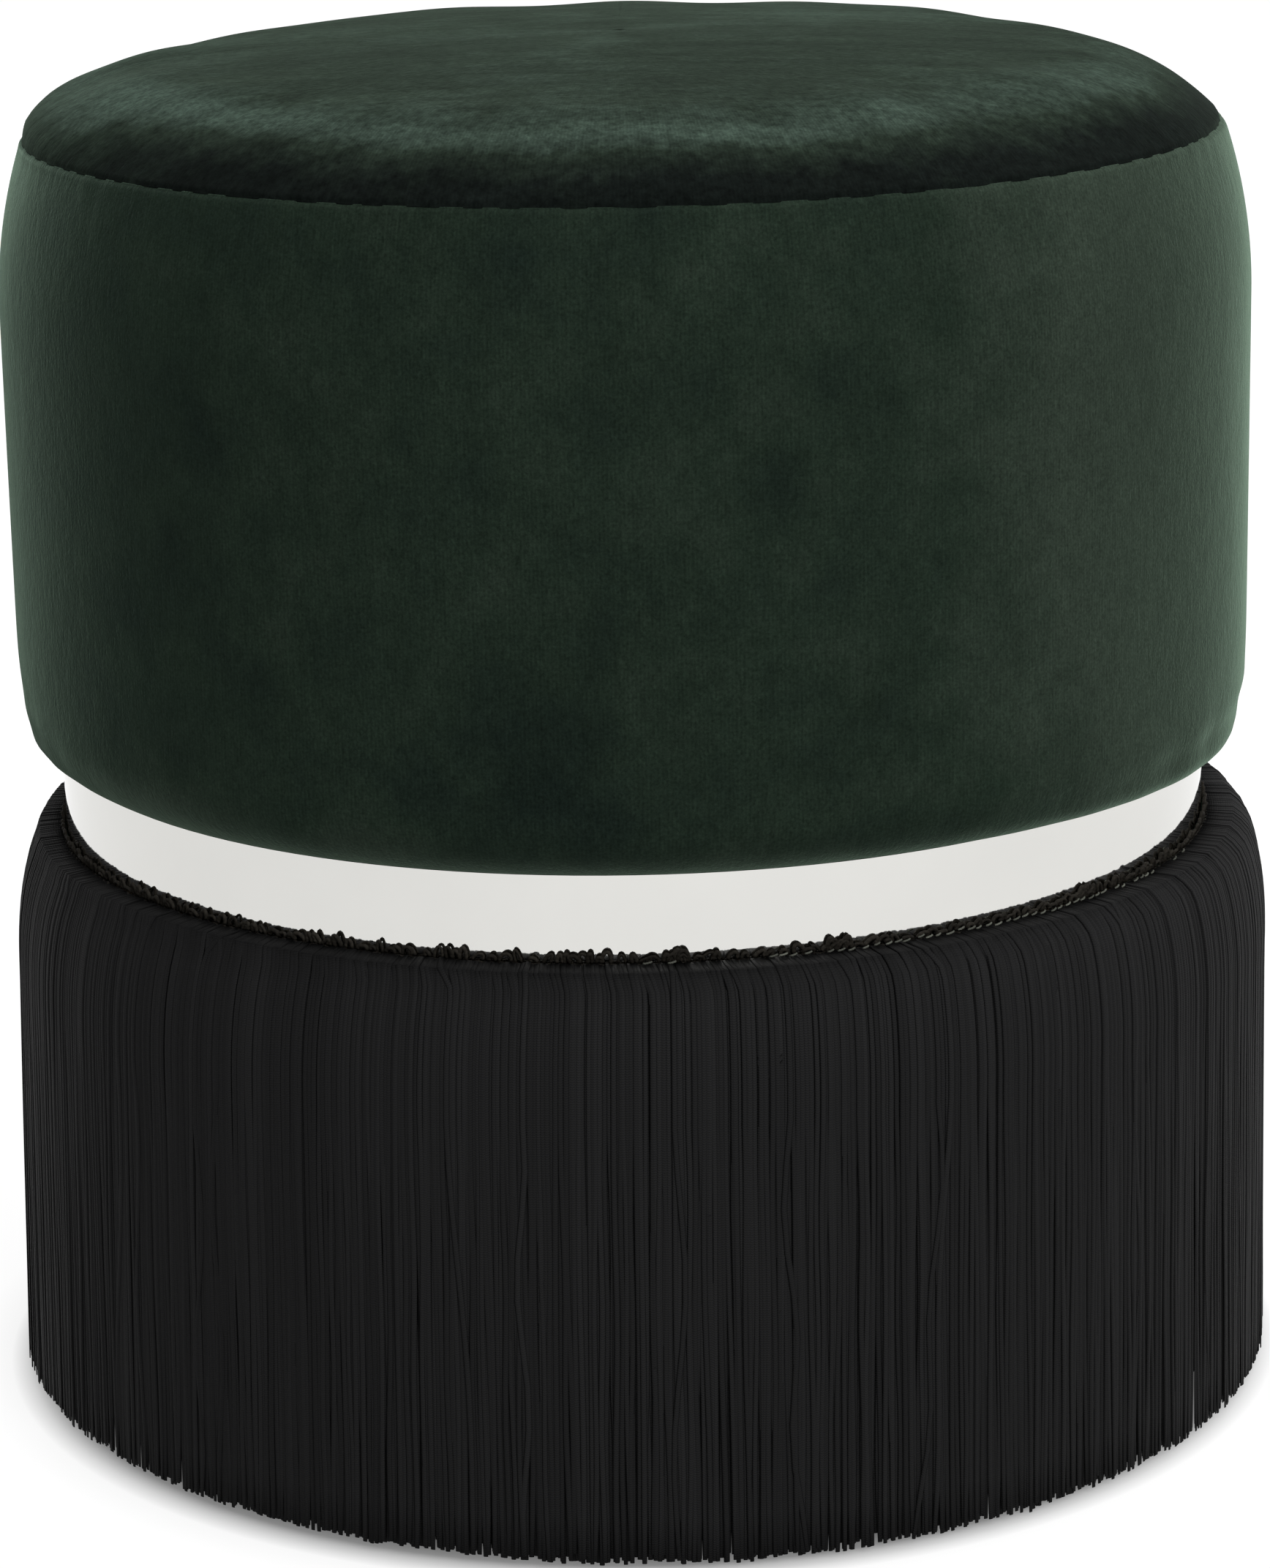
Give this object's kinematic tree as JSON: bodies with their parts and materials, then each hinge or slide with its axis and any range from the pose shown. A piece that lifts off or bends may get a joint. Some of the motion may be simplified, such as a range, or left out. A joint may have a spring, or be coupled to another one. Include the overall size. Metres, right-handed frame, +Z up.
{
  "type": "fringed pouf",
  "caption": "Round upholstered pouf with a crowned velvet drum seat, a polished metal band round its waist and a drum base hung with long cord fringe, standing on low glides.",
  "frame": {"origin": "on the floor, under the centre of the pouf", "axes": "+Z up along the axis of the drums, +Y towards the back, where the metal band's joint is"},
  "size_m": [0.3668, 0.3668, 0.3828],
  "materials": {
    "velvet": "dark green cut-pile velvet with a soft sheen",
    "foam": "open-cell upholstery foam",
    "plywood": "raw plywood",
    "pine": "planed softwood",
    "hardboard": "smooth brown hardboard",
    "polished_steel": "polished stainless steel",
    "zinc_steel": "zinc-plated steel",
    "fringe_yarn": "black knitted chainette cord with a slight lustre",
    "lining_cloth": "black non-woven lining",
    "glide_plastic": "black moulded plastic"
  },
  "bodies": {
    "root": {"seat_top_cover": "velvet", "seat_side_cover": "velvet", "seat_foam_pad": "foam", "seat_foam_wrap": "foam", "seat_top_board": "plywood", "seat_bottom_board": "plywood", "seat_posts": "pine", "seat_post_screws": "zinc_steel", "seat_drum_wall": "hardboard", "metal_band": "polished_steel", "band_core": "plywood", "joining_bolts": "zinc_steel", "joining_washers": "zinc_steel", "tee_nuts": "zinc_steel", "base_top_board": "plywood", "base_bottom_board": "plywood", "base_posts": "pine", "base_post_screws": "zinc_steel", "base_drum_wall": "hardboard", "base_foam_wrap": "foam", "base_cover": "velvet", "fringe_heading": "fringe_yarn", "fringe_skirt": "fringe_yarn", "dust_cover": "lining_cloth", "glides": "glide_plastic", "glide_screws": "zinc_steel"}
  },
  "joints": []
}
